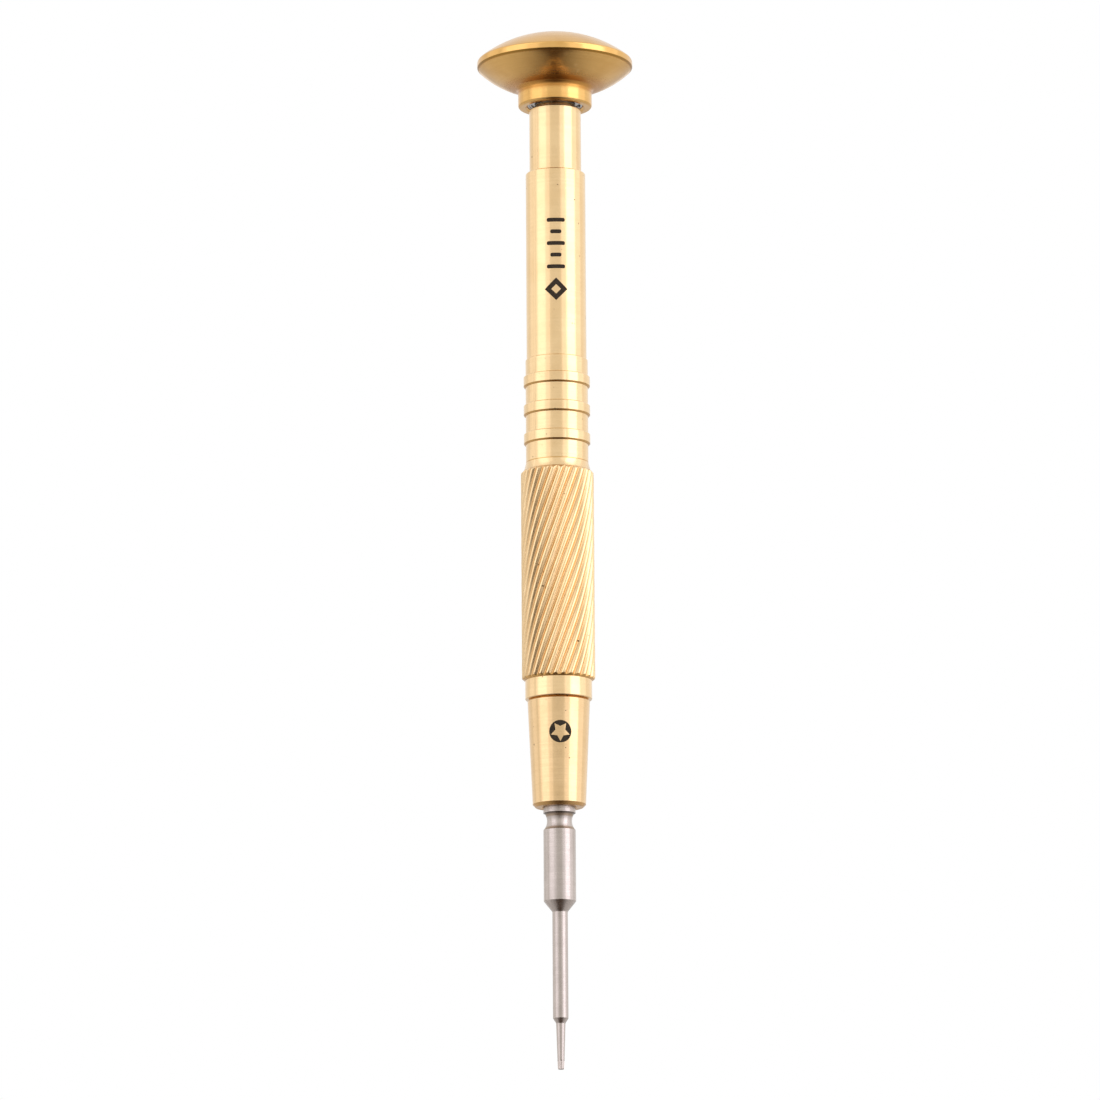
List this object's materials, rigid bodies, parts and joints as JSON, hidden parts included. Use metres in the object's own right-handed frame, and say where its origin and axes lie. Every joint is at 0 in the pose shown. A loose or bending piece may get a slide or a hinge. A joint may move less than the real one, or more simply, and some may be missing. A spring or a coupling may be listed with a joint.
{
  "type": "watchmaker screwdriver",
  "caption": "Slim turned brass precision screwdriver with a helical grip, a domed swivel cap on a ball bearing and a fixed steel blade ending in a small lobed tip.",
  "frame": {"origin": "end of the driving tip, on the axis of the tool", "axes": "+Z along the axis from the driving tip to the domed cap, -Y is the side that carries the marks"},
  "size_m": [0.0196, 0.0196, 0.1313],
  "materials": {
    "handle_brass": "satin, turned",
    "cap_brass": "polished, finely turned",
    "cage_brass": "pressed",
    "blade_steel": "satin",
    "screw_steel": "machined",
    "bearing_steel": "ground and polished",
    "mark_black": "blackened engraving"
  },
  "bodies": {
    "tool": {"handle": "handle_brass", "nose": "handle_brass", "blade": "blade_steel", "bearing_inner_ring": "bearing_steel", "retaining_washer": "screw_steel", "retaining_screw": "screw_steel"},
    "cap": {"cap": "cap_brass", "bearing_outer_ring": "bearing_steel", "lower_shield": "bearing_steel", "upper_shield": "bearing_steel", "lower_snap_ring": "bearing_steel", "upper_snap_ring": "bearing_steel"},
    "ball_set": {"bearing_cage": "cage_brass", "bearing_ball_1": "bearing_steel", "bearing_ball_2": "bearing_steel", "bearing_ball_3": "bearing_steel", "bearing_ball_4": "bearing_steel", "bearing_ball_5": "bearing_steel", "bearing_ball_6": "bearing_steel", "bearing_ball_7": "bearing_steel", "bearing_ball_8": "bearing_steel"}
  },
  "joints": [
    {"name": "cap_swivel", "type": "hinge", "parent": "tool", "child": "cap", "pos_m": [0, 0, 0.12335], "axis": [0, 0, 1], "continuous": true},
    {"name": "ball_orbit", "type": "hinge", "parent": "tool", "child": "ball_set", "pos_m": [0, 0, 0.12335], "axis": [0, 0, 1], "continuous": true}
  ],
  "couplings": [
    {"joint": "ball_orbit", "follows": "cap_swivel", "ratio": 0.57273}
  ]
}
